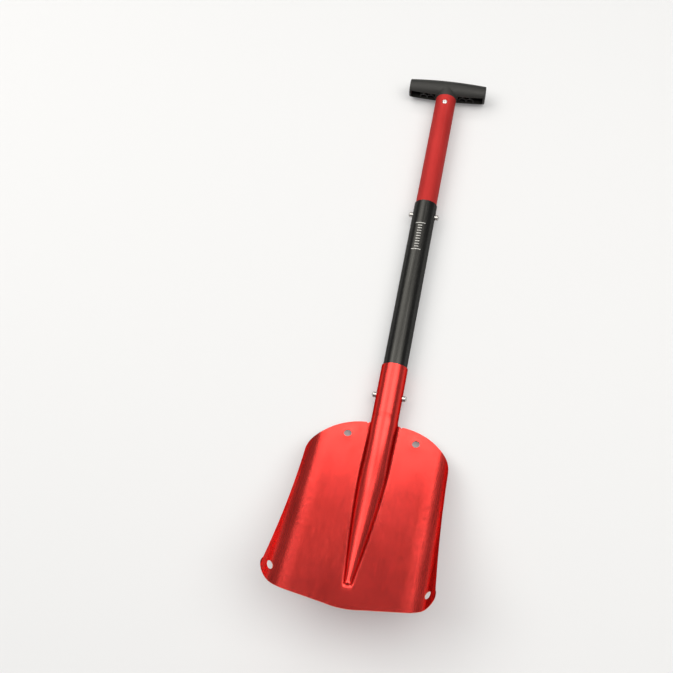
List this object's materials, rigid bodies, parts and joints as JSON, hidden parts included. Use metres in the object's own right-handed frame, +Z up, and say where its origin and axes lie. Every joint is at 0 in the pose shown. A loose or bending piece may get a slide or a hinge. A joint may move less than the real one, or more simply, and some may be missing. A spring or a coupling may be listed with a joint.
{
  "type": "avalanche shovel",
  "caption": "Take-apart snow shovel: a dished sheet blade with a rolled socket, two tubular shafts locked by snap buttons, and a moulded T-grip.",
  "frame": {"origin": "on the surface that the shovel lies on, under the middle of its length and on its centre line", "axes": "+Z up, out of the blade's face; +Y along the shaft from the blade to the T-grip; +X to the shovel's right, seen from above with the grip up"},
  "size_m": [0.1874, 0.7396, 0.1011],
  "materials": {
    "red_anodised_sheet": "satin bright red anodised aluminium sheet",
    "black_anodised_tube": "satin black anodised aluminium tube",
    "red_anodised_tube": "matt red anodised aluminium tube",
    "black_plastic": "fine-grained moulded plastic, matt",
    "rivet_aluminium": "bright aluminium",
    "steel_stem": "broken steel stem, dull",
    "spring_steel": "rolled spring strip",
    "plated_steel": "bright plated"
  },
  "bodies": {
    "blade": {"blade": "red_anodised_sheet"},
    "mid_shaft": {"mid_shaft_tube": "black_anodised_tube", "lower_snap_spring": "spring_steel"},
    "upper_shaft": {"upper_shaft_tube": "red_anodised_tube", "t_handle": "black_plastic", "handle_rivets": "rivet_aluminium", "rivet_mandrels": "steel_stem", "upper_snap_spring": "spring_steel"},
    "lower_right_button": {"lower_right_button": "plated_steel"},
    "lower_left_button": {"lower_left_button": "plated_steel"},
    "upper_right_button": {"upper_right_button": "plated_steel"},
    "upper_left_button": {"upper_left_button": "plated_steel"}
  },
  "joints": [
    {"name": "mid_shaft_slide", "type": "slide", "parent": "blade", "child": "mid_shaft", "axis": [0, 1, 0], "range_m": [0, 0.075], "deforming": ["lower_snap_spring", "lower_right_button", "lower_left_button"]},
    {"name": "upper_shaft_slide", "type": "slide", "parent": "mid_shaft", "child": "upper_shaft", "axis": [0, 1, 0], "range_m": [-0.152, 0.06], "deforming": ["upper_snap_spring", "upper_right_button", "upper_left_button"]},
    {"name": "lower_right_button_press", "type": "slide", "parent": "mid_shaft", "child": "lower_right_button", "axis": [-1, 0, 0], "range_m": [0, 0.0069], "stiffness_N_per_m": 1000, "springref_m": -0.004, "deforming": ["lower_snap_spring"]},
    {"name": "lower_left_button_press", "type": "slide", "parent": "mid_shaft", "child": "lower_left_button", "axis": [1, 0, 0], "range_m": [0, 0.0069], "stiffness_N_per_m": 1000, "springref_m": -0.004, "deforming": ["lower_snap_spring"]},
    {"name": "upper_right_button_press", "type": "slide", "parent": "upper_shaft", "child": "upper_right_button", "axis": [-1, 0, 0], "range_m": [0, 0.0067], "stiffness_N_per_m": 1000, "springref_m": -0.004, "deforming": ["upper_snap_spring"]},
    {"name": "upper_left_button_press", "type": "slide", "parent": "upper_shaft", "child": "upper_left_button", "axis": [1, 0, 0], "range_m": [0, 0.0067], "stiffness_N_per_m": 1000, "springref_m": -0.004, "deforming": ["upper_snap_spring"]}
  ]
}
